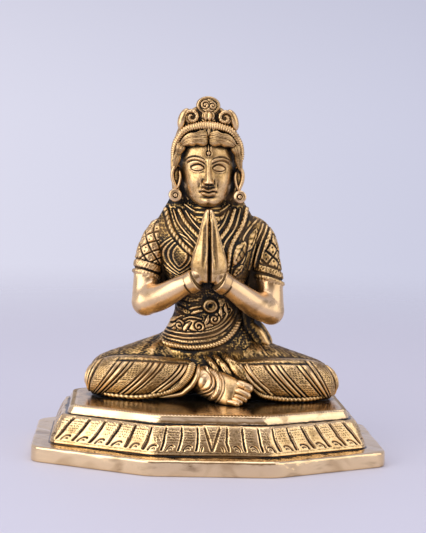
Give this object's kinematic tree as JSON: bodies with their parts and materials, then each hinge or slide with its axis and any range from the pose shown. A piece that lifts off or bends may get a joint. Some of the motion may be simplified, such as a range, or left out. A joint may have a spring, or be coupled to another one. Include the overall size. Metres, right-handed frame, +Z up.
{
  "type": "seated prayer figurine",
  "caption": "Small cast brass woman seated cross-legged with palms pressed together, on a stepped eight-sided plinth with a petal band.",
  "frame": {"origin": "on the surface it stands on, under the middle of the plinth's foot", "axes": "+Z up to the tip of the tiara, the figure faces -Y, +X to the right as seen from the front"},
  "size_m": [0.1356, 0.1, 0.1397],
  "materials": {
    "brass": "polished on the high places, dark brown patina in the hollows"
  },
  "bodies": {
    "root": {"plinth": "brass", "figure": "brass"}
  },
  "joints": []
}
